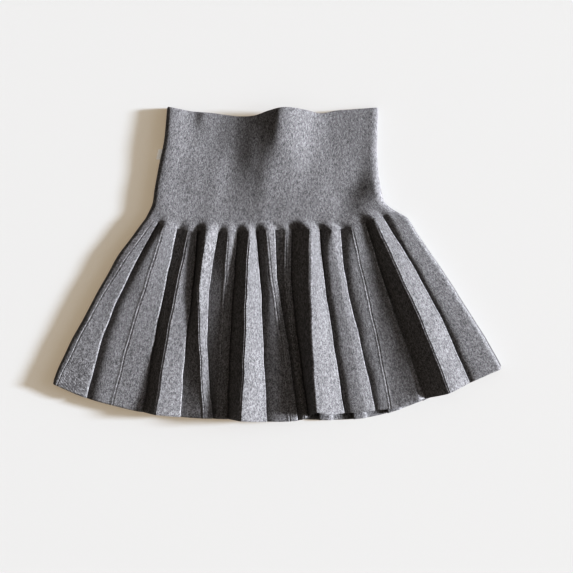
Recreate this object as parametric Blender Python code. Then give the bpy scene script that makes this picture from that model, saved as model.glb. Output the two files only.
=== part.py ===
"""Pleated knit mini skirt, laid flat with its front up.

Sizes and tables are in millimetres, the model is in metres.  X runs to the right
of the laid skirt, Y towards the waist, Z up from the surface that it lies on.
"""

from collections import namedtuple

import bpy
import numpy as np

MM = 0.001

# ---- driving dimensions
CLOTH = 2.0            # wall of the pleated knit
YOKE_CLOTH = 2.2       # wall of the plain knit above the pleats
SEAM_GAP = 0.3         # clear gap between two pieces that are joined
BEND = 1.3             # centre-line radius of a folded pleat edge
FOLD_SLACK = 0.4       # extra drop between a folded edge and the valley under it
SIDE_SEAM_Z = 6.0      # height at which front and back meet along the sides
FLOOR_Z = CLOTH / 2    # centre line of cloth that rests on the surface
BACK_PLEATS = 13
BACK_TUCK_TOP = 3.0
BACK_TUCK_HEM = 9.0
LABEL_OUT = 5.0        # how far the side label stands out
LABEL_TOP_Y = 148.0
LABEL_LOW_Y = 135.0
LABEL_RIBBON = 0.5
LABEL_BEND = 0.45      # half the height between the label's two layers

# ---- outlines
Side = namedtuple("Side", "way x")        # way: 0 at the pleat tops, 1 at the hem
SKIRT_LEFT = [
    Side(0.00, -169.0), Side(0.07, -180.0), Side(0.21, -202.0), Side(0.42, -227.5),
    Side(0.65, -253.5), Side(0.81, -271.5), Side(1.00, -288.5),
]
SKIRT_RIGHT = [
    Side(0.00, 154.0), Side(0.035, 166.0), Side(0.07, 171.5), Side(0.12, 177.5),
    Side(0.26, 196.5), Side(0.37, 211.0), Side(0.63, 244.5), Side(0.83, 269.0),
    Side(1.00, 288.5),
]
YOKE_LEFT = [
    Side(0.00, -141.5), Side(0.34, -146.5), Side(0.52, -152.0), Side(0.75, -158.0),
    Side(0.88, -161.0), Side(1.00, -169.0),
]
YOKE_RIGHT = [
    Side(0.00, 129.5), Side(0.54, 129.0), Side(0.74, 132.0), Side(0.84, 135.0),
    Side(0.91, 138.0), Side(0.97, 147.5), Side(1.00, 154.0),
]

Edge = namedtuple("Edge", "x y")
WAIST_EDGE = [
    Edge(-141.5, 202.0), Edge(-110.5, 196.5), Edge(-69.0, 192.0), Edge(-48.5, 189.5),
    Edge(-27.5, 190.5), Edge(-12.5, 195.5), Edge(3.0, 199.0), Edge(35.5, 197.5),
    Edge(55.0, 194.0), Edge(75.5, 197.5), Edge(96.0, 199.0), Edge(129.5, 201.5),
]
PLEAT_LINE = [
    Edge(-169.0, 59.5), Edge(-153.5, 53.0), Edge(-144.0, 49.5), Edge(-128.5, 45.5),
    Edge(-91.0, 42.5), Edge(-62.5, 41.5), Edge(-35.5, 42.0), Edge(-7.0, 44.0),
    Edge(39.5, 44.5), Edge(80.5, 45.5), Edge(96.0, 48.0), Edge(113.0, 53.0),
    Edge(123.0, 57.0), Edge(134.0, 61.3), Edge(154.0, 67.5),
]
FRONT_HEM = [
    Edge(-288.5, -153.0), Edge(-244.5, -171.5), Edge(-211.5, -180.5),
    Edge(-175.0, -189.0), Edge(-124.0, -195.5), Edge(-61.5, -198.5),
    Edge(-13.0, -201.5), Edge(16.0, -201.0), Edge(26.5, -200.0), Edge(38.0, -196.0),
    Edge(47.5, -189.0), Edge(61.5, -191.5), Edge(86.0, -190.5), Edge(126.0, -187.5),
    Edge(164.5, -181.0), Edge(182.5, -174.0), Edge(218.5, -164.0),
    Edge(246.5, -151.5), Edge(288.5, -133.5),
]
BACK_HEM = [
    Edge(-288.5, -150.5), Edge(-229.0, -170.0), Edge(-164.5, -186.5),
    Edge(-100.0, -194.0), Edge(-35.5, -198.0), Edge(29.0, -199.5),
    Edge(80.5, -200.0), Edge(119.5, -196.5), Edge(141.5, -191.5),
    Edge(167.0, -183.0), Edge(196.5, -171.0), Edge(235.5, -153.5),
    Edge(288.5, -131.0),
]

# ---- front pleats: each has a crest and, right of it, a folded edge that laps the
# next pleat.  Places are at the top, a quarter, six tenths and all of the way down.
STATIONS = (0.0, 0.25, 0.6, 1.0)
Pleat = namedtuple(
    "Pleat",
    "crest_0 crest_25 crest_60 crest_100 edge_0 edge_25 edge_60 edge_100",
)
PLEATS = [
    Pleat(-159.0, -197.0, -241.0, -283.0, -153.0, -184.0, -219.5, -244.5),
    Pleat(-144.0, -162.0, -187.5, -211.5, -128.5, -140.5, -157.5, -175.0),
    Pleat(-113.0, -125.5, -141.5, -156.0, -102.5, -107.0, -117.0, -124.0),
    Pleat(-90.5, -99.5, -99.0, -93.5, -75.5, -85.5, -89.5, -83.0),
    Pleat(-62.5, -66.5, -72.0, -77.5, -51.0, -55.5, -60.5, -64.0),
    Pleat(-36.0, -39.5, -42.0, -47.0, -27.5, -22.0, -18.0, -13.0),
    Pleat(-13.5, -7.0, 5.0, 16.0, -3.0, 0.0, 13.5, 26.5),
    Pleat(11.5, 10.5, 20.0, 34.0, 18.5, 17.5, 26.5, 39.5),
    Pleat(41.5, 41.0, 43.0, 48.5, 54.0, 59.5, 71.5, 86.0),
    Pleat(69.0, 78.0, 93.5, 111.5, 80.5, 86.5, 105.0, 126.0),
    Pleat(95.5, 108.5, 127.0, 145.0, 113.0, 130.5, 155.5, 182.5),
    Pleat(123.0, 148.5, 183.5, 218.5, 134.5, 167.5, 208.5, 246.5),
]
# heights of the centre line of the cloth at the top, halfway and at the hem, and how
# far the cloth runs back under the folded edge (less than nothing: an open valley).
# bow: 1 where the cloth climbs evenly to the crest, more where it levels off before it
RISE_STATIONS = (0.0, 0.5, 1.0)
Rise = namedtuple(
    "Rise",
    "crest_top crest_mid crest_hem edge_top edge_mid edge_hem tuck_top tuck_hem bow",
)
RISES = [
    Rise(15.0, 14.6, 14.2, 14.6, 14.4, 14.2, 0.5, 6.0, 1.0),
    Rise(18.0, 14.6, 14.4, 14.2, 14.2, 14.2, 2.0, -5.0, 3.2),
    Rise(15.2, 18.0, 24.0, 14.4, 15.6, 16.8, -2.0, 2.0, 1.0),
    Rise(22.0, 22.0, 17.0, 15.0, 16.6, 15.0, 2.0, 2.0, 1.0),
    Rise(17.0, 15.4, 14.8, 14.2, 14.2, 14.2, 1.0, 0.0, 1.0),
    Rise(20.0, 28.0, 32.0, 14.6, 16.0, 17.0, 2.0, 9.0, 1.0),
    Rise(18.6, 16.2, 15.6, 16.6, 15.5, 15.0, 2.0, 2.0, 2.2),
    Rise(15.6, 15.5, 15.0, 14.4, 14.4, 14.4, 0.0, -1.0, 1.0),
    Rise(23.5, 29.5, 31.5, 15.4, 17.0, 17.0, 2.0, 9.0, 1.0),
    Rise(19.0, 17.2, 18.0, 15.5, 15.2, 14.2, 2.0, 4.0, 2.8),
    Rise(15.6, 13.8, 12.6, 15.0, 16.2, 17.4, 2.0, -9.0, 3.0),
    Rise(20.5, 27.0, 29.5, 15.5, 16.5, 16.0, 2.0, 9.0, 1.0),
]
LEFT_SIDE_Z = 12.5
RIGHT_SIDE_Z = 13.5
LAST_PANEL_Z = 15.5    # crest of the last panel, between the last edge and the side
LAST_CREST = 0.4       # its place, as a share of the way from the side to crest 12
LAST_BOW = 3.2
BOW_WAY = 0.15         # from here down the panels have their full bow

# ---- relief of the front yoke: height of the centre line across the width, in five
# levels from the waist edge to the pleat line
Relief = namedtuple("Relief", "across waist upper middle lower hip")
RELIEF_WAYS = (0.0, 0.3, 0.55, 0.8, 1.0)
YOKE_RELIEF = [
    Relief(0.03, 13.4, 14.4, 14.0, 14.0, 13.5), Relief(0.05, 12.8, 13.9, 13.4, 13.8, 13.5),
    Relief(0.09, 10.2, 12.2, 11.8, 12.4, 13.5), Relief(0.13, 8.4, 10.6, 11.0, 10.8, 13.5),
    Relief(0.17, 9.8, 9.2, 10.8, 10.4, 13.5), Relief(0.21, 9.8, 8.8, 10.6, 10.2, 13.5),
    Relief(0.26, 9.6, 8.8, 10.2, 10.2, 13.5), Relief(0.31, 11.0, 9.8, 9.0, 10.2, 13.5),
    Relief(0.37, 14.2, 13.0, 10.4, 10.6, 13.5), Relief(0.43, 18.4, 17.6, 13.6, 12.0, 13.5),
    Relief(0.49, 23.4, 21.8, 16.6, 13.6, 14.0), Relief(0.54, 27.6, 23.8, 17.0, 13.8, 14.0),
    Relief(0.59, 25.2, 22.0, 16.0, 13.6, 14.0), Relief(0.64, 19.4, 17.6, 14.0, 13.6, 14.0),
    Relief(0.69, 13.4, 12.6, 12.2, 13.4, 14.0), Relief(0.75, 9.0, 9.2, 11.6, 12.6, 14.0),
    Relief(0.82, 8.4, 8.4, 9.8, 10.4, 14.0), Relief(0.90, 8.6, 8.8, 8.8, 13.4, 14.5),
    Relief(0.97, 9.6, 10.2, 10.4, 18.4, 16.0),
]

# ---- how the sheets turn over at the sides: how far in from the side's centre line,
# and how far above the surface or below the side's height
Turn = namedtuple("Turn", "inward height")
BACK_TURN = [Turn(0.0, 3.2), Turn(1.2, 0.9), Turn(3.6, 0.0)]
LEFT_TURN = [Turn(0.0, -4.0), Turn(0.9, -1.4)]
RIGHT_TURN = [Turn(4.0, 0.0), Turn(0.9, -1.8), Turn(0.0, -4.5)]
YOKE_TURN = [Turn(0.0, 0.45), Turn(1.2, 0.8)]      # height here is a share of the rise

# ---- points of a pleat's panels: share of the panel's width and of its rise
Bow = namedtuple("Bow", "across rise")
TOP_PANEL = [Bow(0.40, 0.28), Bow(0.75, 0.66)]
RISING_PANEL = (0.35, 0.70, 1.00)
BACK_RAMP = [Turn(0.6, 5.1), Turn(3.4, 2.6), Turn(6.2, 0.0)]
OPEN_TUCK = 4.0        # a tuck this deep leaves its valley level
VALLEY_RUN = 1.0       # shortest run of cloth out of a valley

# ---- how finely each sheet is divided
FRONT_WAYS = (0.0, 0.04, 0.09, 0.2, 0.4, 0.6, 0.8, 1.0)
BACK_WAYS = (0.0, 0.3, 0.65, 1.0)
YOKE_WAYS = (0.0, 0.1, 0.22, 0.36, 0.5, 0.64, 0.78, 0.88, 0.94, 1.0)
YOKE_COLUMNS = 44
BACK_YOKE_COLUMNS = 34
YOKE_INSET = 0.02      # share of the width from a side to the first and last column
BEND_POINTS = 4
SLOPE_SPAN = 2.0       # how far each way the slope of the pleat line is taken
SHARPEST = 0.4         # limits how far a sharp corner of a wall reaches out

FRONT_COLOUR = (0.200, 0.198, 0.215, 1.0)
BACK_COLOUR = (0.185, 0.183, 0.200, 1.0)
LABEL_COLOUR = (0.560, 0.520, 0.450, 1.0)
KNIT_ROUGHNESS = 0.92
LABEL_ROUGHNESS = 0.75


def through(places, values, at):
    """Value at `at` of a smooth curve through (places, values)."""
    places = np.asarray(places, float)
    values = np.asarray(values, float)
    slopes = np.gradient(values, places)
    at = float(np.clip(at, places[0], places[-1]))
    k = int(np.clip(np.searchsorted(places, at) - 1, 0, len(places) - 2))
    span = places[k + 1] - places[k]
    t = (at - places[k]) / span
    ahead = values[k + 1] * (3 - 2 * t) * t * t + values[k] * (1 + 2 * t) * (1 - t) ** 2
    lean = slopes[k] * t * (1 - t) ** 2 - slopes[k + 1] * t * t * (1 - t)
    return ahead + lean * span


def side_x(rows, way):
    return through([r.way for r in rows], [r.x for r in rows], way)


def edge_y(rows, x):
    return through([r.x for r in rows], [r.y for r in rows], x)


def seam_drop(x):
    """Half the seam gap, measured along Y where the pleat line slopes."""
    rise = edge_y(PLEAT_LINE, x + SLOPE_SPAN) - edge_y(PLEAT_LINE, x - SLOPE_SPAN)
    slope = rise / (2 * SLOPE_SPAN)
    return SEAM_GAP / 2 * (1 + slope * slope) ** 0.5


def lerp(a, b, t):
    return a + (b - a) * t


def folded_edge(edge_x, edge_z, tuck):
    """Centres of the two bends of a folded edge: the edge and the hidden valley."""
    edge = np.array([edge_x - CLOTH / 2 - BEND, edge_z - BEND])
    return edge, edge - np.array([tuck, 2 * BEND + FOLD_SLACK])


def bends(edge, valley, climb=0.0):
    """Section points round the edge bend, then round the valley bend.

    The straight run between them touches both circles on opposite sides, and the
    cloth leaves the valley at the angle `climb`.
    """
    run = valley - edge
    swing = np.arcsin(min(1.0, 2 * BEND / float(np.hypot(*run))))
    leave = (np.arctan2(run[1], run[0]) - swing + np.pi / 2) % (2 * np.pi)
    if leave > np.pi / 2:
        leave -= 2 * np.pi
    first = [edge + BEND * np.array([np.cos(a), np.sin(a)])
             for a in np.linspace(np.pi / 2, leave, BEND_POINTS)]
    second = [valley - BEND * np.array([np.cos(a), np.sin(a)])
              for a in np.linspace(leave, np.pi / 2 + climb, BEND_POINTS)]
    return first, second


def pleated_section(way):
    """Centre-line points (x, z) of the front pleats, from left side to right side."""
    left = side_x(SKIRT_LEFT, way)
    right = side_x(SKIRT_RIGHT, way)
    half = CLOTH / 2
    crests = [(through(STATIONS, pleat[:4], way), through(RISE_STATIONS, rise[:3], way))
              for pleat, rise in zip(PLEATS, RISES)]
    crests.append((lerp(right, crests[-1][0], LAST_CREST), LAST_PANEL_Z))
    bows = [lerp(1.0, bow, min(1.0, way / BOW_WAY))
            for bow in [rise.bow for rise in RISES] + [LAST_BOW]]
    points = [(left + half, SIDE_SEAM_Z + SEAM_GAP / 2)]
    points += [(left + half + turn.inward, LEFT_SIDE_Z + turn.height) for turn in LEFT_TURN]
    points.append(crests[0])
    for k, (pleat, rise) in enumerate(zip(PLEATS, RISES)):
        edge_x = through(STATIONS, pleat[4:], way)
        edge_z = through(RISE_STATIONS, rise[3:6], way)
        edge, valley = folded_edge(edge_x, edge_z, lerp(rise.tuck_top, rise.tuck_hem, way))
        # how steeply the cloth climbs out of the valley to the next crest
        next_x, next_z = crests[k + 1]
        hidden = max(0.0, edge_x - half - valley[0])
        climb = np.arctan2(next_z - valley[1] + BEND, next_x - max(valley[0], edge_x))
        climb *= max(0.0, 1 - hidden / OPEN_TUCK)
        first, second = bends(edge, valley, climb)
        crest_x, crest_z = crests[k]
        for bow in TOP_PANEL:
            x = lerp(crest_x, first[0][0], bow.across)
            points.append((x, lerp(crest_z, edge_z, bow.rise)))
        points += [tuple(p) for p in first + second]
        from_x, from_z = points[-1]
        start_x = max(from_x + VALLEY_RUN, edge_x - half)
        start_z = from_z + (start_x - from_x) * np.tan(climb)
        points.append((start_x, start_z))
        for across in RISING_PANEL:
            lift = 1 - (1 - across) ** bows[k + 1]
            points.append((lerp(start_x, next_x, across), lerp(start_z, next_z, lift)))
    points += [(right - half - turn.inward, RIGHT_SIDE_Z + turn.height) for turn in RIGHT_TURN]
    points.append((right - half, SIDE_SEAM_Z + SEAM_GAP / 2))
    return np.array(points)


def back_section(way):
    """Centre-line points (x, z) of the back pleats, which lie on the surface."""
    left = side_x(SKIRT_LEFT, way)
    right = side_x(SKIRT_RIGHT, way)
    half = CLOTH / 2
    tuck = lerp(BACK_TUCK_TOP, BACK_TUCK_HEM, way)
    points = [(left + half, SIDE_SEAM_Z - SEAM_GAP / 2)]
    points += [(left + half + turn.inward, FLOOR_Z + turn.height) for turn in BACK_TURN]
    for k in range(1, BACK_PLEATS):
        edge_x = lerp(left, right, k / BACK_PLEATS)
        edge = np.array([edge_x - half - BEND, FLOOR_Z + BEND])
        valley = edge + np.array([-tuck, 2 * BEND])
        first, second = bends(edge * (1, -1), valley * (1, -1))
        points += [(p[0], -p[1]) for p in first + second]
        points += [(edge_x + turn.inward, FLOOR_Z + turn.height) for turn in BACK_RAMP]
    points += [(right - half - turn.inward, FLOOR_Z + turn.height)
               for turn in reversed(BACK_TURN)]
    points.append((right - half, SIDE_SEAM_Z - SEAM_GAP / 2))
    return np.array(points)


def skirt_sheet(section, hem, ways):
    """Both faces of a pleated panel, in rows from the pleat line down to the hem."""
    faces = []
    for reach in (CLOTH / 2, -CLOTH / 2):
        top_x = shell(section(0.0), reach)[:, 0]
        hem_x = shell(section(1.0), reach)[:, 0]
        top_y = np.array([edge_y(PLEAT_LINE, x) - seam_drop(x) for x in top_x])
        hem_y = np.array([edge_y(hem, x) for x in hem_x])
        rows = []
        for way in ways:
            points = shell(section(way), reach)
            y = lerp(top_y, hem_y, way)
            rows.append(np.column_stack([points[:, 0], y, points[:, 1]]))
        faces.append(rows)
    return closed_sheet(*faces)


def relief_z(across, way):
    """Height of the front yoke's centre line."""
    places = [r.across for r in YOKE_RELIEF]
    levels = [through(places, level, across) for level in list(zip(*YOKE_RELIEF))[1:]]
    return through(RELIEF_WAYS, levels, way)


def yoke_section(front, way):
    """Centre-line points (x, z) of the front or back yoke, side to side."""
    half = YOKE_CLOTH / 2
    left = side_x(YOKE_LEFT, way)
    right = side_x(YOKE_RIGHT, way)
    if front:
        seam = SIDE_SEAM_Z + SEAM_GAP / 2
        left_z = relief_z(YOKE_RELIEF[0].across, way)
        right_z = relief_z(YOKE_RELIEF[-1].across, way)
    else:
        seam = SIDE_SEAM_Z - SEAM_GAP / 2
        left_z = right_z = half
    section = [(left + half, seam)]
    section += [(left + half + turn.inward, lerp(seam, left_z, turn.height))
                for turn in YOKE_TURN]
    columns = YOKE_COLUMNS if front else BACK_YOKE_COLUMNS
    for across in np.linspace(YOKE_INSET, 1 - YOKE_INSET, columns):
        z = relief_z(across, way) if front else half
        section.append((left + (right - left) * across, z))
    section += [(right - half - turn.inward, lerp(seam, right_z, turn.height))
                for turn in reversed(YOKE_TURN)]
    section.append((right - half, seam))
    return np.array(section)


def yoke_y(x, way):
    """Y of a yoke point from how far across and how far down it is."""
    left = side_x(YOKE_LEFT, way)
    right = side_x(YOKE_RIGHT, way)
    across = (x - left) / (right - left)
    low_x = lerp(YOKE_LEFT[-1].x, YOKE_RIGHT[-1].x, across)
    top_y = edge_y(WAIST_EDGE, lerp(YOKE_LEFT[0].x, YOKE_RIGHT[0].x, across))
    return lerp(top_y, edge_y(PLEAT_LINE, low_x) + seam_drop(low_x), way)


def yoke_sheet(front):
    """Both faces of a yoke panel, in rows from the waist edge to the pleat line."""
    faces = []
    for reach in (YOKE_CLOTH / 2, -YOKE_CLOTH / 2):
        rows = []
        for way in YOKE_WAYS:
            points = shell(yoke_section(front, way), reach)
            y = [yoke_y(x, way) for x in points[:, 0]]
            rows.append(np.column_stack([points[:, 0], y, points[:, 1]]))
        faces.append(rows)
    return closed_sheet(*faces)


def shell(points, reach):
    """A section moved square to itself by `reach`, with sharp corners kept."""
    runs = np.diff(points, axis=0)
    runs /= np.linalg.norm(runs, axis=1)[:, None]
    normals = np.column_stack([-runs[:, 1], runs[:, 0]])
    before = np.vstack([normals[:1], normals])
    after = np.vstack([normals, normals[-1:]])
    scale = 1 + np.sum(before * after, axis=1)
    return points + (before + after) / np.maximum(scale, SHARPEST)[:, None] * reach


def closed_sheet(upper, lower):
    """Vertices and faces of the closed wall between two faces given in rows."""
    count = len(upper[0])
    last = (len(upper) - 1) * count
    layer = last + count
    verts = [tuple(point * MM) for row in upper + lower for point in row]
    faces = []
    for i in range(0, last, count):
        for a in range(i, i + count - 1):
            quad = (a, a + count, a + count + 1, a + 1)
            faces.append(quad)
            faces.append(tuple(layer + k for k in reversed(quad)))
        left = (i, layer + i, layer + i + count, i + count)
        right = tuple(k + count - 1 for k in reversed(left))
        faces += [left, right]
    for a in range(count - 1):
        top = (a, a + 1, layer + a + 1, layer + a)
        low = tuple(k + last for k in reversed(top))
        faces += [top, low]
    return verts, faces


def cloth_material(name, colour, roughness):
    material = bpy.data.materials.new(name)
    material.use_nodes = True
    shader = material.node_tree.nodes["Principled BSDF"]
    shader.inputs["Base Color"].default_value = colour
    shader.inputs["Roughness"].default_value = roughness
    shader.inputs["Metallic"].default_value = 0.0
    return material


def add_piece(name, geometry, colour, roughness, collection):
    mesh = bpy.data.meshes.new(name)
    mesh.from_pydata(geometry[0], [], geometry[1])
    mesh.validate()
    mesh.update()
    piece = bpy.data.objects.new(name, mesh)
    piece.data.materials.append(cloth_material(name, colour, roughness))
    collection.objects.link(piece)
    return piece


def label_sheet():
    """The side label: a ribbon folded on itself, its fold away from the skirt."""
    faces = []
    for reach in (LABEL_RIBBON / 2, -LABEL_RIBBON / 2):
        rows = []
        for y in (LABEL_TOP_Y, LABEL_LOW_Y):
            top_y = edge_y(WAIST_EDGE, YOKE_LEFT[0].x)
            low_y = edge_y(PLEAT_LINE, YOKE_LEFT[-1].x)
            inner = side_x(YOKE_LEFT, (top_y - y) / (top_y - low_y)) - SEAM_GAP
            outer = inner - LABEL_OUT
            low_z = SIDE_SEAM_Z - LABEL_BEND
            high_z = SIDE_SEAM_Z + LABEL_BEND
            points = shell(np.array([
                (inner, low_z), (outer + LABEL_BEND, low_z), (outer, SIDE_SEAM_Z),
                (outer + LABEL_BEND, high_z), (inner, high_z),
            ]), reach)
            level = np.full(len(points), y)
            rows.append(np.column_stack([points[:, 0], level, points[:, 1]]))
        faces.append(rows)
    return closed_sheet(*faces)


for old in list(bpy.data.objects):
    bpy.data.objects.remove(old, do_unlink=True)

skirt = bpy.data.collections.new("pleated_knit_mini_skirt")
bpy.context.scene.collection.children.link(skirt)
add_piece("yoke_back", yoke_sheet(False), BACK_COLOUR, KNIT_ROUGHNESS, skirt)
add_piece("pleats_back", skirt_sheet(back_section, BACK_HEM, BACK_WAYS),
          BACK_COLOUR, KNIT_ROUGHNESS, skirt)
add_piece("yoke_front", yoke_sheet(True), FRONT_COLOUR, KNIT_ROUGHNESS, skirt)
add_piece("pleats_front", skirt_sheet(pleated_section, FRONT_HEM, FRONT_WAYS),
          FRONT_COLOUR, KNIT_ROUGHNESS, skirt)
add_piece("side_label", label_sheet(), LABEL_COLOUR, LABEL_ROUGHNESS, skirt)
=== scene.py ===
import math
from collections import namedtuple

import bpy
import numpy as np
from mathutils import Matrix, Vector


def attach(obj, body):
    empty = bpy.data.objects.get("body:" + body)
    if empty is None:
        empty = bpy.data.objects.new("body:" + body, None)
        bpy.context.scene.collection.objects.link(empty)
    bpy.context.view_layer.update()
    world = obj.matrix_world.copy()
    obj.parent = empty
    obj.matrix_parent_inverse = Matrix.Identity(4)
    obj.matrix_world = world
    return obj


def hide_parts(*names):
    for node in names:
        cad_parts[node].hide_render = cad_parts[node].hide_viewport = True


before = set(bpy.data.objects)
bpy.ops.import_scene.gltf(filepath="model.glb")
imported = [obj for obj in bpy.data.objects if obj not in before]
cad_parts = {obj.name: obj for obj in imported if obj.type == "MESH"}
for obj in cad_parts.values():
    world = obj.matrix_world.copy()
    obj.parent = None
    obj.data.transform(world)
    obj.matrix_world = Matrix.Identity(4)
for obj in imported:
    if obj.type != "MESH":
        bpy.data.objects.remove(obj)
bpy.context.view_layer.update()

# ---------------------------------------------------------------- back of the yoke
# The back half of the smooth hip yoke: a double knit of marl wool, knitted in one
# with the pleats below and closed to the front along the sides.  It lies flat on
# the surface, and its waist edge shows behind the front one.

MM = 0.001
YOKE_CLOTH = 2.2
SIDE_SEAM_Z = 6.0
SEAM = 0.06            # what is left of a seam that is knitted through
YOKE_CURL = 3.2        # how far in from a side the back yoke's curl reaches
YOKE_COLUMNS = 90
EDGE_WALL = 0.35       # share of the wall that is left at a rounded edge
WAIST_ROUNDING = 60    # the wall is whole this steeply below the waist edge
LIP = 1.6              # how far the back waist edge shows behind the front one
LIP_X = -88
LIP_REACH = 26
LIP_FADE = 8
SHARP_ANGLE = 70       # degrees between faces that are shaded apart
MM_PER_DM = 100

Side = namedtuple("Side", "way x")
YOKE_LEFT = [
    Side(0.00, -141.5), Side(0.34, -146.5), Side(0.52, -152.0), Side(0.75, -158.0),
    Side(0.88, -161.0), Side(1.00, -169.0),
]
YOKE_RIGHT = [
    Side(0.00, 129.5), Side(0.54, 129.0), Side(0.74, 132.0), Side(0.84, 135.0),
    Side(0.91, 138.0), Side(0.97, 147.5), Side(1.00, 154.0),
]
Edge = namedtuple("Edge", "x y")
WAIST_EDGE = [
    Edge(-141.5, 202.0), Edge(-110.5, 196.5), Edge(-69.0, 192.0), Edge(-48.5, 189.5),
    Edge(-27.5, 190.5), Edge(-12.5, 195.5), Edge(3.0, 199.0), Edge(35.5, 197.5),
    Edge(55.0, 194.0), Edge(75.5, 197.5), Edge(96.0, 199.0), Edge(129.5, 201.5),
]
PLEAT_LINE = [
    Edge(-169.0, 59.5), Edge(-153.5, 53.0), Edge(-144.0, 49.5), Edge(-128.5, 45.5),
    Edge(-91.0, 42.5), Edge(-62.5, 41.5), Edge(-35.5, 42.0), Edge(-7.0, 44.0),
    Edge(39.5, 44.5), Edge(80.5, 45.5), Edge(96.0, 48.0), Edge(113.0, 53.0),
    Edge(123.0, 57.0), Edge(134.0, 61.3), Edge(154.0, 67.5),
]


def smooth(places, values, at):
    """Smooth curve through (places, values), read at `at`."""
    places = np.asarray(places, float)
    values = np.asarray(values, float)
    slopes = np.gradient(values, places, axis=0)
    at = np.clip(np.asarray(at, float), places[0], places[-1])
    k = np.clip(np.searchsorted(places, at) - 1, 0, len(places) - 2)
    span = places[k + 1] - places[k]
    t = (at - places[k]) / span
    ahead = values[k + 1] * (3 - 2 * t) * t * t + values[k] * (1 + 2 * t) * (1 - t) ** 2
    lean = slopes[k] * t * (1 - t) ** 2 - slopes[k + 1] * t * t * (1 - t)
    return ahead + lean * span


def side_x(rows, way):
    """X of a side at this way down."""
    return float(smooth([r.way for r in rows], [r.x for r in rows], way))


def edge_y(rows, x):
    """Y of an edge at this place across."""
    return smooth([r.x for r in rows], [r.y for r in rows], x)


def lerp(a, b, t):
    return a + (b - a) * t


def shell(points, reach):
    """A section moved square to itself by `reach`."""
    runs = np.diff(points, axis=0)
    runs /= np.maximum(np.linalg.norm(runs, axis=1), 1e-6)[:, None]
    normals = np.column_stack([-runs[:, 1], runs[:, 0]])
    before = np.vstack([normals[:1], normals])
    after = np.vstack([normals, normals[-1:]])
    scale = np.maximum(1 + np.sum(before * after, axis=1), 0.5)
    return points + (before + after) / scale[:, None] * reach


def cloth_piece(name, upper, lower, knit_place, material):
    """A closed cloth wall between two faces given as grids of points, in mm."""
    rows, count = upper.shape[:2]
    points = np.concatenate([upper.reshape(-1, 3), lower.reshape(-1, 3)]) * MM
    index = np.arange(rows * count).reshape(rows, count)
    a, b = index[:-1, :-1].ravel(), index[1:, :-1].ravel()
    c, d = index[1:, 1:].ravel(), index[:-1, 1:].ravel()
    layer = rows * count
    quads = [np.column_stack([a, b, c, d]), np.column_stack([d, c, b, a]) + layer]
    for rim, turn in ((index[:, 0], 1), (index[:, -1], -1), (index[0], -1), (index[-1], 1)):
        quad = np.column_stack([rim[:-1], rim[:-1] + layer, rim[1:] + layer, rim[1:]])
        quads.append(quad[:, ::turn])
    quads = np.concatenate(quads)
    mesh = bpy.data.meshes.new(name)
    mesh.from_pydata(points.tolist(), [], quads.tolist())
    layer_uv = mesh.uv_layers.new(name="knit")
    places = np.concatenate([knit_place.reshape(-1, 2)] * 2)
    layer_uv.data.foreach_set("uv", places[quads.ravel()].astype(np.float32).ravel())
    mesh.shade_smooth()
    mesh.set_sharp_from_angle(angle=math.radians(SHARP_ANGLE))
    mesh.materials.append(material)
    piece = bpy.data.objects.new(name, mesh)
    bpy.context.scene.collection.objects.link(piece)
    return piece


def knit_places(middle):
    """Where each point lies in the knit: wales across and courses down, in dm."""
    row = middle[len(middle) // 2]
    across = np.concatenate([[0], np.cumsum(np.linalg.norm(np.diff(row, axis=0), axis=1))])
    steps = np.linalg.norm(np.diff(middle, axis=0), axis=2)
    down = np.concatenate([np.zeros((1, middle.shape[1])), np.cumsum(steps, axis=0)])
    return np.dstack([np.tile(across, (len(middle), 1)), -down]) / MM_PER_DM


SWELL = 0.16           # half the height of the swell
SWELL_FROM_Z = 8       # cloth that lies lower stays even, and 3 mm above it all swells
SWELL_FADE = 3
SWAYS = (0.32, 0.16)   # half the width of the long and of the short sway


def uneven(points, sway):
    """Laid cloth is never quite even: a slow sway across and a slow swell upwards."""
    x, y = points[..., 0], points[..., 1]
    swell = np.sin(x / 8.3 + y / 31) * np.sin(y / 17 + 0.9) + np.sin(x / 5.1 - y / 26 + 2)
    height = points[..., 2]
    points[..., 2] += SWELL * swell * np.clip((height - SWELL_FROM_Z) / SWELL_FADE, 0, 1)
    slow = SWAYS[0] * np.sin(y / 9.5 + x / 23) + SWAYS[1] * np.sin(y / 5.3 - x / 31 + 2.1)
    points[..., 0] += sway * slow
    return points


def yoke_y(x, way):
    """Y of a yoke point from how far across and how far down it is."""
    left = side_x(YOKE_LEFT, way)
    across = (x - left) / (side_x(YOKE_RIGHT, way) - left)
    low_x = lerp(YOKE_LEFT[-1].x, YOKE_RIGHT[-1].x, across)
    top_x = lerp(YOKE_LEFT[0].x, YOKE_RIGHT[0].x, across)
    return lerp(edge_y(WAIST_EDGE, top_x), edge_y(PLEAT_LINE, low_x) + SEAM / 2, way)


def yoke_piece(name, section, ways, material, lip=0.0):
    """The yoke's wall from its sections, with a rounded edge at the waist."""
    faces = []
    for reach in (YOKE_CLOTH / 2, 0.0, -YOKE_CLOTH / 2):
        rows = []
        for way in ways:
            rounding = min(1.0, EDGE_WALL + way * WAIST_ROUNDING)
            points = shell(section(way), reach * rounding)
            x = points[:, 0]
            out = lip * np.exp(-((x - LIP_X) / LIP_REACH) ** 2) * max(0.0, 1 - way * LIP_FADE)
            rows.append(np.column_stack([x, yoke_y(x, way) + out, points[:, 1]]))
        faces.append(uneven(np.array(rows), 0.0))
    upper, middle, lower = faces
    return cloth_piece(name, upper, lower, knit_places(middle), material)


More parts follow.
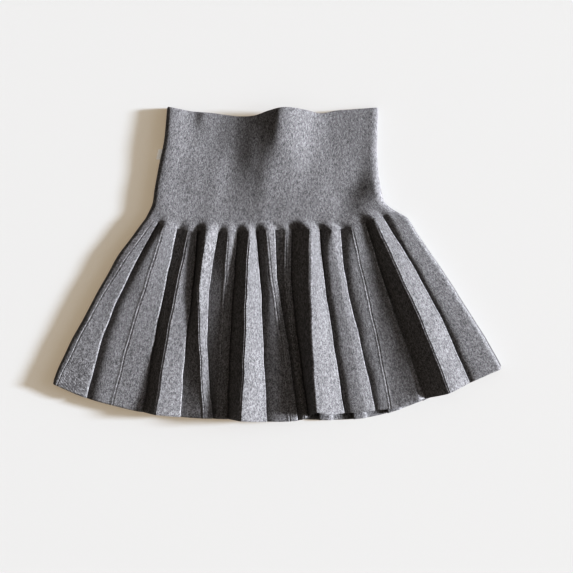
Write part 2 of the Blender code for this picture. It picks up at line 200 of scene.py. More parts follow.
def add_node(tree, kind, links=(), **values):
    """A shader node with its sockets set by name and linked from other sockets."""
    node = tree.nodes.new(kind)
    for key, value in values.items():
        setattr(node, key, value)
    for socket, source in links:
        if hasattr(source, "is_output"):
            tree.links.new(source, node.inputs[socket])
        else:
            node.inputs[socket].default_value = source
    return node


def sums(tree, operation, first, second=0.0):
    """The output of a math node on two sockets or numbers."""
    links = ((0, first), (1, second))
    return add_node(tree, "ShaderNodeMath", links, operation=operation).outputs[0]


STITCH_SLANT = 1.7     # courses that a leg of a stitch climbs over a whole wale
STITCH_FLOOR = 0.45    # height of a stitch's low end, as a share of its crown


def stitch_group():
    """Plain knit: a height of V-shaped stitches and one random value a yarn loop."""
    group = bpy.data.node_groups.new("knit_stitches", "ShaderNodeTree")
    for name, kind, way in (
        ("Place", "NodeSocketVector", "INPUT"), ("Wales per dm", "NodeSocketFloat", "INPUT"),
        ("Courses per dm", "NodeSocketFloat", "INPUT"), ("Height", "NodeSocketFloat", "OUTPUT"),
        ("Loop", "NodeSocketFloat", "OUTPUT"),
    ):
        group.interface.new_socket(name, in_out=way, socket_type=kind)
    take = group.nodes.new("NodeGroupInput")
    give = group.nodes.new("NodeGroupOutput")
    place = add_node(group, "ShaderNodeSeparateXYZ", ((0, take.outputs["Place"]),))
    wale = sums(group, "MULTIPLY", place.outputs[0], take.outputs["Wales per dm"])
    course = sums(group, "MULTIPLY", place.outputs[1], take.outputs["Courses per dm"])
    in_wale = sums(group, "FRACT", wale)
    from_middle = sums(group, "ABSOLUTE", sums(group, "SUBTRACT", in_wale, 0.5))
    slanted = sums(group, "ADD", course, sums(group, "MULTIPLY", from_middle, STITCH_SLANT))
    leg = sums(group, "SINE", sums(group, "MULTIPLY", from_middle, 2 * math.pi))
    along = sums(group, "SINE", sums(group, "MULTIPLY", sums(group, "FRACT", slanted), math.pi))
    crown = sums(group, "MULTIPLY", along, 0.55)
    rise = sums(group, "ADD", crown, STITCH_FLOOR)
    height = sums(group, "MULTIPLY", leg, rise)
    loop_x = sums(group, "FLOOR", sums(group, "MULTIPLY", wale, 2.0))
    loop_y = sums(group, "FLOOR", slanted)
    loop = add_node(group, "ShaderNodeCombineXYZ", ((0, loop_x), (1, loop_y)))
    noise = add_node(group, "ShaderNodeTexWhiteNoise", ((0, loop.outputs[0]),),
                     noise_dimensions="3D")
    group.links.new(height, give.inputs["Height"])
    group.links.new(noise.outputs["Value"], give.inputs["Loop"])
    return group


STITCHES = stitch_group()
WALES_PER_DM = 62.0
COURSES_PER_DM = 78.0
LOOP_SHARE = 0.55      # how much a loop, its yarn and a fibre say in the shade
YARN_SHARE = 0.95
FIBRE_SHARE = 0.40
SHADE_RANGE = (0.60, 1.30)


def marl_knit(name, dark, light):
    """Marl double knit: loops of dark and pale yarn, fuzzy and without shine."""
    material = bpy.data.materials.new(name)
    material.use_nodes = True
    tree = material.node_tree
    shader = tree.nodes["Principled BSDF"]
    place = add_node(tree, "ShaderNodeUVMap", uv_map="knit")
    stitches = add_node(tree, "ShaderNodeGroup", node_tree=STITCHES)
    tree.links.new(place.outputs[0], stitches.inputs["Place"])
    stitches.inputs["Wales per dm"].default_value = WALES_PER_DM
    stitches.inputs["Courses per dm"].default_value = COURSES_PER_DM
    # a yarn keeps its shade over several loops, and single fibres break it up
    along = add_node(tree, "ShaderNodeVectorMath", (
        (0, place.outputs[0]), (1, (1.1, 0.45, 1.0))), operation="MULTIPLY")
    yarn = add_node(tree, "ShaderNodeTexNoise", (
        ("Vector", along.outputs[0]), ("Scale", 40.0), ("Detail", 3.0), ("Roughness", 0.7)))
    fibre = add_node(tree, "ShaderNodeTexNoise", (
        ("Vector", place.outputs[0]), ("Scale", 240.0), ("Detail", 1.0)))
    mixed = sums(tree, "ADD", sums(tree, "MULTIPLY", stitches.outputs["Loop"], LOOP_SHARE),
                 sums(tree, "MULTIPLY", yarn.outputs[0], YARN_SHARE))
    mixed = sums(tree, "ADD", mixed, sums(tree, "MULTIPLY", fibre.outputs[0], FIBRE_SHARE))
    shade = add_node(tree, "ShaderNodeMapRange", (
        ("Value", mixed), ("From Min", SHADE_RANGE[0]), ("From Max", SHADE_RANGE[1])))
    tint = add_node(tree, "ShaderNodeMix", (
        (0, shade.outputs[0]), (6, (*dark, 1)), (7, (*light, 1))), data_type="RGBA")
    # painted shade: the base colour is multiplied darker in the hollows between the stitch legs
    # and a little lighter on their crowns
    deep = sums(tree, "ADD", sums(tree, "MULTIPLY", stitches.outputs["Height"], 0.5), 0.6)
    painted_stitch_shade = add_node(tree, "ShaderNodeMix", (
        (0, 1.0), (6, tint.outputs[2])), data_type="RGBA", blend_type="MULTIPLY")
    tree.links.new(deep, painted_stitch_shade.inputs[7])
    tree.links.new(painted_stitch_shade.outputs[2], shader.inputs["Base Color"])
    relief = sums(tree, "ADD", stitches.outputs["Height"],
                  sums(tree, "MULTIPLY", fibre.outputs[0], 0.5))
    bump = add_node(tree, "ShaderNodeBump", (
        ("Strength", 0.7), ("Distance", 0.0005), ("Height", relief)))
    tree.links.new(bump.outputs[0], shader.inputs["Normal"])
    shader.inputs["Roughness"].default_value = 0.95
    shader.inputs["Specular IOR Level"].default_value = 0.15
    shader.inputs["Sheen Weight"].default_value = 0.12
    shader.inputs["Sheen Roughness"].default_value = 0.5
    return material


def flat_yoke_section(way):
    """Middle of the back yoke's cloth, side to side."""
    half = YOKE_CLOTH / 2
    left = side_x(YOKE_LEFT, way)
    right = side_x(YOKE_RIGHT, way)
    curl = np.linspace(0, math.pi / 2, 6)
    drop = SIDE_SEAM_Z - SEAM / 2 - half
    left_x = left + half + YOKE_CURL * (1 - np.cos(curl))
    right_x = right - half - YOKE_CURL * (1 - np.cos(curl))
    z = half + drop * (1 - np.sin(curl))
    flat = np.linspace(left_x[-1], right_x[-1], YOKE_COLUMNS)[1:-1]
    x = np.concatenate([left_x, flat, right_x[::-1]])
    return np.column_stack([x, np.concatenate([z, np.full(len(flat), half), z[::-1]])])


DARK_YARN = (0.112, 0.108, 0.111)
PALE_YARN = (0.347, 0.340, 0.350)
back_knit = marl_knit("back_knit", DARK_YARN, PALE_YARN)
YOKE_WAYS = np.concatenate([[0, 0.003, 0.008], np.linspace(0.016, 1, 110)])
yoke_back = yoke_piece("yoke_back_cloth", flat_yoke_section, YOKE_WAYS[::3], back_knit, LIP)
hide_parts("yoke_back")
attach(yoke_back, "root")

# ---------------------------------------------------------------- back pleats
# The back of the pleated skirt, knitted in one with the back yoke.  Its pleats lie
# folded flat on the surface, three layers deep at each lap, and its hem shows
# below the front one right of the middle.

CLOTH = 2.0
BEND = 1.3             # radius of the middle of the cloth in a fold
FOLD_SLACK = 0.4       # extra drop between a folded edge and the valley under it
SKIRT_CURL = 3.6       # how far in from a side the back pleats' curl reaches
HEM_ROUNDING = 90      # the wall is whole this steeply above the hem
SWAY_WAY = 0.2         # from here down the folded edges sway in full
BACK_PLEATS = 13
BACK_TUCK_TOP = 3.0
BACK_TUCK_HEM = 9.0
RAMP_START = 0.6       # where the cloth starts down from a lap, right of its edge
RAMP_RUN = 5.6
SKIRT_LEFT = [
    Side(0.00, -169.0), Side(0.07, -180.0), Side(0.21, -202.0), Side(0.42, -227.5),
    Side(0.65, -253.5), Side(0.81, -271.5), Side(1.00, -288.5),
]
SKIRT_RIGHT = [
    Side(0.00, 154.0), Side(0.035, 166.0), Side(0.07, 171.5), Side(0.12, 177.5),
    Side(0.26, 196.5), Side(0.37, 211.0), Side(0.63, 244.5), Side(0.83, 269.0),
    Side(1.00, 288.5),
]
BACK_HEM = [
    Edge(-288.5, -150.5), Edge(-229.0, -170.0), Edge(-164.5, -186.5),
    Edge(-100.0, -194.0), Edge(-35.5, -198.0), Edge(29.0, -199.5),
    Edge(80.5, -200.0), Edge(119.5, -196.5), Edge(141.5, -191.5),
    Edge(167.0, -183.0), Edge(196.5, -171.0), Edge(235.5, -153.5),
    Edge(288.5, -131.0),
]


def bends(edge, valley, climb, steps):
    """Points round a folded edge, then round the valley that it runs back to."""
    run = valley - edge
    swing = np.arcsin(min(1.0, 2 * BEND / float(np.hypot(*run))))
    leave = (np.arctan2(run[1], run[0]) - swing + np.pi / 2) % (2 * np.pi)
    if leave > np.pi / 2:
        leave -= 2 * np.pi
    first = np.linspace(np.pi / 2, leave, steps)[:, None]
    second = np.linspace(leave, np.pi / 2 + climb, steps)[:, None]
    return (edge + BEND * np.hstack([np.cos(first), np.sin(first)]),
            valley - BEND * np.hstack([np.cos(second), np.sin(second)]))


def skirt_piece(name, section, hem, ways, material):
    """A pleated wall from its sections, pleat line to a rounded hem."""
    faces = []
    for reach in (CLOTH / 2, 0.0, -CLOTH / 2):
        top_x = shell(section(0.0), reach)[:, 0]
        hem_x = shell(section(1.0), reach)[:, 0]
        top_y = edge_y(PLEAT_LINE, top_x) - SEAM / 2
        hem_y = edge_y(hem, hem_x)
        rows = []
        for way in ways:
            rounding = min(1.0, EDGE_WALL + (1 - way) * HEM_ROUNDING)
            points = shell(section(way), reach * rounding)
            rows.append(np.column_stack([points[:, 0], lerp(top_y, hem_y, way), points[:, 1]]))
        sway = np.clip(np.asarray(ways) / SWAY_WAY, 0, 1)[:, None]
        faces.append(uneven(np.array(rows), sway))
    upper, middle, lower = faces
    return cloth_piece(name, upper, lower, knit_places(middle), material)


def back_section(way):
    """Middle of the cloth of the back pleats, side to side."""
    half = CLOTH / 2
    left = side_x(SKIRT_LEFT, way)
    right = side_x(SKIRT_RIGHT, way)
    tuck = lerp(BACK_TUCK_TOP, BACK_TUCK_HEM, way)
    curl = np.linspace(0, math.pi / 2, 6)[:, None]
    drop = SIDE_SEAM_Z - SEAM / 2 - half
    side = np.hstack([SKIRT_CURL * (1 - np.cos(curl)), half + drop * (1 - np.sin(curl))])
    parts = [side + (left + half, 0)]
    for k in range(1, BACK_PLEATS):
        edge_x = lerp(left, right, k / BACK_PLEATS)
        edge = np.array([edge_x - half - BEND, -half - BEND])
        first, second = bends(edge, edge - (tuck, 2 * BEND), 0.0, 6)
        top = half + 4 * BEND
        start = parts[-1][-1]
        panel = np.linspace(start, (first[0][0], half), 6)[1:-1]
        t = np.linspace(0, 1, 8)[:, None]
        ramp_x = edge_x + RAMP_START + RAMP_RUN * t
        ramp = np.hstack([ramp_x, top - 4 * BEND * (3 - 2 * t) * t * t])
        parts += [panel, first * (1, -1), second * (1, -1), ramp]
    parts.append(np.linspace(parts[-1][-1], (right - half - SKIRT_CURL, half), 6)[1:-1])
    parts.append(side[::-1] * (-1, 1) + (right - half, 0))
    return np.concatenate(parts)


BACK_WAYS = np.concatenate([np.linspace(0, 0.985, 40), [0.990, 0.994, 0.997, 1.0]])
pleats_back = skirt_piece("pleats_back_cloth", back_section, BACK_HEM, BACK_WAYS, back_knit)
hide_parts("pleats_back")
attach(pleats_back, "root")

# ---------------------------------------------------------------- front pleats
# The front of the pleated skirt: thirteen flutes that fan out to the hem.  Each has
# a crest with one raised wale and a purl groove beside it, which makes the cloth
# fold there, and a plain folded edge that laps over the next flute.

Pleat = namedtuple(
    "Pleat",
    "crest_0 crest_25 crest_60 crest_100 edge_0 edge_25 edge_60 edge_100",
)
STATIONS = (0.0, 0.25, 0.6, 1.0)
PLEATS = [
    Pleat(-159.0, -197.0, -241.0, -283.0, -153.0, -184.0, -219.5, -244.5),
    Pleat(-144.0, -162.0, -187.5, -211.5, -128.5, -140.5, -157.5, -175.0),
    Pleat(-113.0, -125.5, -141.5, -156.0, -102.5, -107.0, -117.0, -124.0),
    Pleat(-90.5, -99.5, -99.0, -93.5, -75.5, -85.5, -89.5, -83.0),
    Pleat(-62.5, -66.5, -72.0, -77.5, -51.0, -55.5, -60.5, -64.0),
    Pleat(-36.0, -39.5, -42.0, -47.0, -27.5, -22.0, -18.0, -13.0),
    Pleat(-13.5, -7.0, 5.0, 16.0, -3.0, 0.0, 13.5, 26.5),
    Pleat(11.5, 10.5, 20.0, 34.0, 18.5, 17.5, 26.5, 39.5),
    Pleat(41.5, 41.0, 43.0, 48.5, 54.0, 59.5, 71.5, 86.0),
    Pleat(69.0, 78.0, 93.5, 111.5, 80.5, 86.5, 105.0, 126.0),
    Pleat(95.5, 108.5, 127.0, 145.0, 113.0, 130.5, 155.5, 182.5),
    Pleat(123.0, 148.5, 183.5, 218.5, 134.5, 167.5, 208.5, 246.5),
]
RISE_STATIONS = (0.0, 0.5, 1.0)
Rise = namedtuple(
    "Rise",
    "crest_top crest_mid crest_hem edge_top edge_mid edge_hem tuck_top tuck_hem bow",
)
RISES = [
    Rise(15.0, 14.6, 14.2, 14.6, 14.4, 14.2, 0.5, 6.0, 1.0),
    Rise(18.0, 14.6, 14.4, 14.2, 14.2, 14.2, 2.0, -5.0, 4.2),
    Rise(15.2, 18.0, 24.0, 14.4, 15.6, 16.8, -2.0, 2.0, 1.0),
    Rise(22.0, 21.4, 17.0, 15.0, 17.6, 15.0, 2.0, 2.0, 1.0),
    Rise(17.0, 15.4, 14.8, 14.2, 14.2, 14.2, 1.0, 0.0, 1.0),
    Rise(20.0, 28.0, 32.0, 14.6, 16.0, 17.0, 2.0, 9.0, 1.0),
    Rise(18.6, 16.2, 15.6, 16.6, 15.5, 15.0, 2.0, 2.0, 2.2),
    Rise(15.6, 15.5, 15.0, 14.4, 14.4, 14.4, 0.0, -1.0, 1.0),
    Rise(23.5, 30.5, 32.5, 15.4, 17.0, 17.0, 2.0, 9.0, 1.0),
    Rise(19.0, 17.2, 18.0, 15.5, 15.2, 14.2, 2.0, 4.0, 4.0),
    Rise(15.6, 13.8, 12.6, 15.0, 16.2, 17.4, 2.0, -9.0, 3.0),
    Rise(21.0, 28.5, 31.0, 15.5, 16.5, 16.0, 2.0, 9.0, 1.0),
]
PLAIN_CRESTS = (9, len(PLEATS))      # the tenth, and the last panel's highest line
RIGHT_SIDE_Z = 14.6
LAST_PANEL_Z = 15.5
LAST_BOW = 3.2
LAST_CREST = 0.4       # its place, as a share of the way from the side to crest 12
BOW_WAY = 0.15         # how far down the pleats' panels have their full bow
PANEL_BOW = 1.3        # a top panel falls slowly at first, by this power
OPEN_TUCK = 4          # a tuck this deep leaves its valley level
VALLEY_RUN = 1.0       # shortest run of cloth out of a valley
LEFT_ROLL = 4          # power of the left side's roll: 2 is round, more is squarer
RIGHT_CURL = 4.5       # how far in from the right side its fold reaches
RIB_START = 0.3        # share of its height that a rib has at the pleat line
RIB_GROWTH = 8         # how fast it gains the rest on the way down
FRONT_HEM = [
    Edge(-288.5, -153.0), Edge(-244.5, -171.5), Edge(-211.5, -180.5),
    Edge(-175.0, -189.0), Edge(-124.0, -195.5), Edge(-61.5, -198.5),
    Edge(-13.0, -201.5), Edge(16.0, -201.0), Edge(26.5, -200.0), Edge(38.0, -196.0),
    Edge(47.5, -189.0), Edge(61.5, -191.5), Edge(86.0, -190.5), Edge(126.0, -187.5),
    Edge(164.5, -181.0), Edge(182.5, -174.0), Edge(218.5, -164.0),
    Edge(246.5, -151.5), Edge(288.5, -133.5),
]
# one raised wale along a crest and the purl groove right of it: distance right of the
# fold line, and how far the cloth stands up there
Rib = namedtuple("Rib", "off up")
WALE = [
    Rib(-3.2, 0.0), Rib(-2.6, 0.1), Rib(-2.0, 0.24), Rib(-1.5, 0.36), Rib(-1.0, 0.36),
    Rib(-0.5, 0.1), Rib(-0.1, -0.45),
]
GROOVE = [Rib(0.3, -0.65), Rib(0.7, -0.4), Rib(1.1, 0.1), Rib(1.7, 0.15), Rib(2.5, 0.0)]


def rib(rows, crest_x, way):
    """Places of a rib's points, and how far they stand up at this way down."""
    rows = np.array(rows)
    return crest_x + rows[:, 0], rows[:, 1] * min(1.0, RIB_START + RIB_GROWTH * way)


def front_section(way):
    """Middle of the cloth of the front pleats, side to side."""
    half = CLOTH / 2
    left = side_x(SKIRT_LEFT, way)
    right = side_x(SKIRT_RIGHT, way)
    crests = [
        (float(smooth(STATIONS, pleat[:4], way)),
         float(smooth(RISE_STATIONS, rise[:3], way)))
        for pleat, rise in zip(PLEATS, RISES)
    ]
    crests.append((lerp(right, crests[-1][0], LAST_CREST), LAST_PANEL_Z))
    bows = [lerp(1.0, bow, min(1.0, way / BOW_WAY))
            for bow in [rise.bow for rise in RISES] + [LAST_BOW]]
    parts = [side_roll(left + half, *crests[0], way)]
    for k, (pleat, rise) in enumerate(zip(PLEATS, RISES)):
        edge_x = float(smooth(STATIONS, pleat[4:], way))
        edge_z = float(smooth(RISE_STATIONS, rise[3:6], way))
        edge = np.array([edge_x - half - BEND, edge_z - BEND])
        valley = edge - (lerp(rise.tuck_top, rise.tuck_hem, way), 2 * BEND + FOLD_SLACK)
        next_x, next_z = crests[k + 1]
        hidden = max(0.0, edge_x - half - valley[0])
        climb = np.arctan2(next_z - valley[1] + BEND, next_x - max(valley[0], edge_x))
        climb *= max(0.0, 1 - hidden / OPEN_TUCK)
        first, second = bends(edge, valley, climb, 8)
        # top panel, from the crest's groove to the folded edge
        crest_x, crest_z = crests[k]
        groove_x, groove_up = rib(GROOVE, crest_x, way)
        x = np.concatenate([groove_x, np.linspace(groove_x[-1], first[0][0], 9)[1:-1]])
        t = (x - crest_x) / (first[0][0] - crest_x)
        z = lerp(crest_z, edge_z, t ** PANEL_BOW)
        if k not in PLAIN_CRESTS:
            z[:len(GROOVE)] += groove_up
        parts += [np.column_stack([x, z]), first, second]
        # rising panel, from the hidden valley to the next crest's wale
        from_x, from_z = second[-1]
        start_x = max(from_x + VALLEY_RUN, edge_x - half)
        start_z = from_z + (start_x - from_x) * np.tan(climb)
        wale_x, wale_up = rib(WALE, next_x, way)
        x = np.concatenate([np.linspace(start_x, wale_x[0], 12)[:-1], wale_x])
        t = (x - start_x) / (next_x - start_x)
        z = lerp(start_z, next_z, 1 - (1 - t) ** bows[k + 1])
        if k + 1 not in PLAIN_CRESTS:
            z[-len(WALE):] += wale_up
        parts.append(np.column_stack([x, z]))
    parts.append(last_panel(crests[-1], right))
    return np.concatenate(parts)


def side_roll(side, crest_x, crest_z, way):
    """The left side, where the cloth turns up from the seam to the first crest."""
    seam = SIDE_SEAM_Z + SEAM / 2
    wide = crest_x - side
    wale_x, wale_up = rib(WALE, crest_x, way)
    angles = np.linspace(0, math.acos((crest_x - wale_x[0]) / wide), 8)[:-1]
    x = np.concatenate([crest_x - wide * np.cos(angles), wale_x])
    out = np.maximum(0, 1 - np.abs((x - crest_x) / wide) ** LEFT_ROLL)
    z = seam + (crest_z - seam) * out ** (1 / LEFT_ROLL)
    z[-len(WALE):] += wale_up
    return np.column_stack([x, z])


def last_panel(crest, right):
    """The last flute's panel, from its crest over the right side fold."""
    half = CLOTH / 2
    seam = SIDE_SEAM_Z + SEAM / 2
    flat_x = right - half - RIGHT_CURL
    flat = np.linspace(crest, (flat_x, RIGHT_SIDE_Z), 9)[1:-1]
    curl = np.linspace(math.pi / 2, 0, 8)[:, None]
    turn = np.hstack([flat_x + RIGHT_CURL * np.cos(curl),
                      seam + (RIGHT_SIDE_Z - seam) * np.sin(curl)])
    return np.concatenate([flat, turn])


front_knit = marl_knit("front_knit", DARK_YARN, PALE_YARN)
FRONT_WAYS = np.concatenate([np.linspace(0, 0.12, 12), np.linspace(0.135, 0.985, 58),
                             [0.990, 0.994, 0.997, 1.0]])
pleats_front = skirt_piece("pleats_front_cloth", front_section, FRONT_HEM, FRONT_WAYS,
                           front_knit)
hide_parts("pleats_front")
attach(pleats_front, "root")

# ---------------------------------------------------------------- front of the yoke
# The front half of the hip yoke, knitted in one with the front pleats.  It lies
# loosely over the back: the left side stands in a roll, and one soft fold runs
# down from the waist right of the middle.

Relief = namedtuple("Relief", "across waist upper middle lower hip")
RELIEF_WAYS = (0.0, 0.3, 0.55, 0.8, 1.0)
YOKE_INSET = 0.03      # share of the width that each side's roll takes
RELIEF_COLUMNS = 190
YOKE_ROLL = 3.4        # power of the left side's roll, as for the pleats
YOKE_DEPTH = 150       # from the waist to the pleat line
SHOW_THROUGH = 12      # how far above the pleat line the pleat tops show
BLUR_STEP = 7          # how far up the tops take the next softer shape
TOPS_FROM, TOPS_TO = -172.0, 157.0
TOPS_STEP = 0.5
TOPS_FLOOR = 8.0
YOKE_RELIEF = [
    Relief(0.03, 14.2, 15.4, 14.0, 14.0, 13.5), Relief(0.05, 13.2, 14.6, 13.4, 13.8, 13.5),
    Relief(0.09, 9.8, 12.2, 11.8, 12.4, 13.5), Relief(0.13, 8.4, 10.4, 11.0, 10.8, 13.5),
    Relief(0.17, 10.8, 9.2, 10.8, 10.4, 13.5), Relief(0.21, 10.8, 8.8, 10.6, 10.2, 13.5),
    Relief(0.26, 10.2, 8.8, 10.2, 10.2, 13.5), Relief(0.31, 11.0, 9.8, 9.0, 10.2, 13.5),
    Relief(0.37, 14.2, 13.0, 10.4, 10.6, 13.5), Relief(0.43, 18.4, 17.6, 13.6, 12.0, 13.5),
    Relief(0.49, 23.8, 22.2, 16.6, 13.6, 14.0), Relief(0.54, 29.0, 25.0, 17.0, 13.8, 14.0),
    Relief(0.59, 26.6, 23.4, 16.0, 13.6, 14.0), Relief(0.64, 19.8, 17.9, 14.0, 13.6, 14.0),
    Relief(0.69, 13.2, 12.2, 12.2, 13.4, 14.0), Relief(0.75, 8.8, 9.0, 11.6, 12.6, 14.0),
    Relief(0.82, 8.4, 8.4, 9.8, 10.4, 14.0), Relief(0.90, 8.6, 8.8, 8.8, 13.4, 14.5),
    Relief(0.97, 9.6, 10.2, 10.4, 18.4, 16.0),
]


def pleat_tops(blur):
    """Height of the pleats along the pleat line, softened over `blur` mm."""
    x = np.arange(TOPS_FROM, TOPS_TO, TOPS_STEP)
    section = front_section(0.0)
    z = np.full(len(x), TOPS_FLOOR)
    for (x0, z0), (x1, z1) in zip(section[:-1], section[1:]):
        low, high = sorted((x0, x1))
        within = (x >= low) & (x <= high)
        if high > low:
            z[within] = np.maximum(z[within], z0 + (z1 - z0) * (x[within] - x0) / (x1 - x0))
    reach = np.arange(-3 * blur, 3 * blur + TOPS_STEP, TOPS_STEP)
    weights = np.exp(-(reach / blur) ** 2 / 2)
    z = np.convolve(np.pad(z, len(reach) // 2, mode="edge"), weights / weights.sum(), "valid")
    return x, z[:len(x)]


BLURS = (3.0, 5.0, 9.0)
TOPS = [pleat_tops(blur) for blur in BLURS]


def yoke_relief(across, way):
    """Height of the middle of the front yoke's cloth."""
    places = [r.across for r in YOKE_RELIEF]
    heights = np.transpose([row[1:] for row in YOKE_RELIEF])
    levels = np.array([smooth(places, level, across) for level in heights])
    z = smooth(RELIEF_WAYS, levels, way)
    # the tops of the pleats show through the last of the yoke
    above = (1 - way) * YOKE_DEPTH
    low_x = lerp(YOKE_LEFT[-1].x, YOKE_RIGHT[-1].x, across)
    levels = np.array([np.interp(low_x, *top) for top in TOPS])
    level = np.clip(above / BLUR_STEP, 0, len(BLURS) - 1.001)
    k = int(level)
    tops = lerp(levels[k], levels[k + 1], level - k)
    return lerp(z, tops, math.exp(-(above / SHOW_THROUGH) ** 2))


def front_yoke_section(way):
    """Middle of the front yoke's cloth, side to side."""
    half = YOKE_CLOTH / 2
    left = side_x(YOKE_LEFT, way)
    right = side_x(YOKE_RIGHT, way)
    width = right - left
    across = np.linspace(YOKE_INSET, 1 - YOKE_INSET, RELIEF_COLUMNS)
    z = yoke_relief(across, way)
    seam = SIDE_SEAM_Z + SEAM / 2
    curl = np.linspace(0, math.pi / 2, 12)[:-1]
    left_x = left + half + (width * YOKE_INSET - half) * (1 - np.cos(curl))
    right_x = right - half - (width * YOKE_INSET - half) * (1 - np.cos(curl))
    x = np.concatenate([left_x, left + width * across, right_x[::-1]])
    left_z = seam + (z[0] - seam) * (1 - np.cos(curl) ** YOKE_ROLL) ** (1 / YOKE_ROLL)
    right_z = seam + (z[-1] - seam) * np.sin(curl)
    return np.column_stack([x, np.concatenate([left_z, z, right_z[::-1]])])


yoke_front = yoke_piece("yoke_front_cloth", front_yoke_section, YOKE_WAYS, front_knit)
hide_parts("yoke_front")
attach(yoke_front, "root")

# ---------------------------------------------------------------- side label
# A short woven ribbon, folded in two and caught in the left side of the yoke.  It
# is plain: it carries no words.

LABEL_OUT = 5.0
LABEL_TOP_Y = 148.0
LABEL_LOW_Y = 135.0
LABEL_RIBBON = 0.5
LABEL_BEND = 0.45      # half the height between its two layers
LABEL_GAP = 0.3        # clear gap between its cut ends and the yoke


def ribbon_weave(name, colour):
    """Fine woven ribbon: a rib of warp threads, its pale colour painted darker where the
    threads sink.
    """
    material = bpy.data.materials.new(name)
    material.use_nodes = True
    tree = material.node_tree
    shader = tree.nodes["Principled BSDF"]
    place = add_node(tree, "ShaderNodeUVMap", uv_map="knit")
    threads = add_node(tree, "ShaderNodeTexWave", (
        ("Vector", place.outputs[0]), ("Scale", 70.0), ("Distortion", 1.0)),
        bands_direction="Y")
    # painted shade: darker where the wave sets the ribbon low, paler on its raised threads
    tint = add_node(tree, "ShaderNodeMix", (
        (0, threads.outputs[1]), (6, (*[c * 0.8 for c in colour], 1)), (7, (*colour, 1))),
        data_type="RGBA")
    bump = add_node(tree, "ShaderNodeBump", (
        ("Strength", 0.4), ("Distance", 0.0001), ("Height", threads.outputs[1])))
    tree.links.new(tint.outputs[2], shader.inputs["Base Color"])
    tree.links.new(bump.outputs[0], shader.inputs["Normal"])
    shader.inputs["Roughness"].default_value = 0.6
    # painted light: the ribbon glows a little of its own, standing in for light from the
    # surface coming through the thin ribbon and lifting it out of the skirt's shadow
    shader.inputs["Emission Color"].default_value = (1.0, 0.97, 0.93, 1)
    shader.inputs["Emission Strength"].default_value = 0.12
    return material


def label_section(inner):
    """The ribbon's middle from one cut end round its fold to the other."""
    curl = np.linspace(-math.pi / 2, math.pi / 2, 9)[:, None]
    outer = inner - LABEL_OUT
    fold = np.hstack([outer + LABEL_BEND - LABEL_BEND * np.cos(curl),
                      SIDE_SEAM_Z + LABEL_BEND * np.sin(curl)])
    low = np.linspace((inner, SIDE_SEAM_Z - LABEL_BEND), fold[0], 6)[:-1]
    high = np.linspace(fold[-1], (inner, SIDE_SEAM_Z + LABEL_BEND), 6)[1:]
    return np.concatenate([low, fold, high])


def label_piece(material):
    """The folded ribbon, from its top cut edge to its low one."""
    top_y = WAIST_EDGE[0].y
    yoke_length = top_y - PLEAT_LINE[0].y
    faces = []
    for reach in (LABEL_RIBBON / 2, 0.0, -LABEL_RIBBON / 2):
        rows = []
        for y in np.linspace(LABEL_TOP_Y, LABEL_LOW_Y, 14):
            inner = side_x(YOKE_LEFT, (top_y - y) / yoke_length) - LABEL_GAP
            points = shell(label_section(inner), reach)
            rows.append(np.column_stack([points[:, 0], np.full(len(points), y), points[:, 1]]))
        faces.append(np.array(rows))
    upper, middle, lower = faces
    return cloth_piece("side_label_ribbon", upper, lower, knit_places(middle), material)


side_label = label_piece(ribbon_weave("label_ribbon", (0.93, 0.92, 0.89)))
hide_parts("side_label")
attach(side_label, "root")

# ---------------------------------------------------------------- surface and light
# The skirt lies on a plain white surface.  Low cool daylight comes from the right
# of the picture, and from a very little above it, and a warm room fills the shadows.
# The surface glows with a little warm light of its own: painted light that stands in for what
# white paper scatters and lifts the shadows on it. Its own colour is cool, so that its lit
# parts still come out white.

MM_PER_PIXEL = 1.29
VIEW_CENTRE = (11.6, -28.4)      # of the picture, from the middle of the skirt
CAMERA_HEIGHT = 1900.0
FRAME_PIXELS = 573
SURFACE_HALF = 4                 # metres from the middle to an edge of the surface
Lamp = namedtuple("Lamp", "name azimuth elevation strength colour spread")
LAMPS = [
    Lamp("window", 3, 17.5, 6.9, (0.91, 0.95, 1.0), 8),
    Lamp("sky", 3, 25, 0.9, (0.91, 0.95, 1.0), 40),
    Lamp("room", 0, 50, 0.3, (1.0, 0.90, 0.76), 90),
]


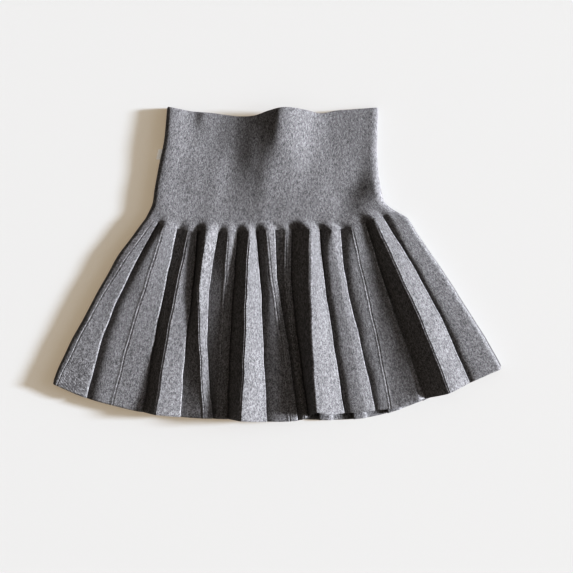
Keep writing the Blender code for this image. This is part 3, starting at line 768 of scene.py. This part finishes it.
def sun(lamp):
    """A far light that shines on the skirt from its azimuth and elevation."""
    light = bpy.data.lights.new(lamp.name, "SUN")
    light.energy = lamp.strength
    light.color = lamp.colour
    light.angle = math.radians(lamp.spread)
    az, el = math.radians(lamp.azimuth), math.radians(lamp.elevation)
    way = Vector((math.cos(el) * math.cos(az), math.cos(el) * math.sin(az), math.sin(el)))
    shining = bpy.data.objects.new(lamp.name, light)
    shining.location = way * 2.0
    shining.rotation_euler = way.to_track_quat("Z", "Y").to_euler()
    bpy.context.scene.collection.objects.link(shining)


surface_mesh = bpy.data.meshes.new("surface")
far = SURFACE_HALF
corners = [(-far, -far, 0), (far, -far, 0), (far, far, 0), (-far, far, 0)]
surface_mesh.from_pydata(corners, [], [(0, 1, 2, 3)])
surface = bpy.data.objects.new("surface", surface_mesh)
bpy.context.scene.collection.objects.link(surface)
glowing_surface = bpy.data.materials.new("white_surface")
glowing_surface.use_nodes = True
glowing_surface_inputs = glowing_surface.node_tree.nodes["Principled BSDF"].inputs
# a cool colour, so that together with the painted warm glow below its lit parts come out white
glowing_surface_inputs["Base Color"].default_value = (0.301, 0.338, 0.385, 1)
# painted light: the surface glows warm of itself, which lifts the shadows that fall on it
glowing_surface_inputs["Emission Color"].default_value = (1, 0.82, 0.60, 1)
glowing_surface_inputs["Emission Strength"].default_value = 0.23
glowing_surface_inputs["Roughness"].default_value = 0.9
surface_mesh.materials.append(glowing_surface)

for lamp in LAMPS:
    sun(lamp)
world = bpy.data.worlds.new("room")
world.use_nodes = True
glow = world.node_tree.nodes["Background"].inputs
glow["Color"].default_value = (1.0, 0.93, 0.84, 1)
glow["Strength"].default_value = 0.17
bpy.context.scene.world = world

view = bpy.data.cameras.new("camera")
view.sensor_width = 36
view.lens = view.sensor_width * CAMERA_HEIGHT / (FRAME_PIXELS * MM_PER_PIXEL)
view.clip_end = 20
camera = bpy.data.objects.new("camera", view)
camera.location = (VIEW_CENTRE[0] * MM, VIEW_CENTRE[1] * MM, CAMERA_HEIGHT * MM)
bpy.context.scene.collection.objects.link(camera)
bpy.context.scene.camera = camera
display = bpy.context.scene.view_settings
display.view_transform = "Standard"
display.look = "Very High Contrast"
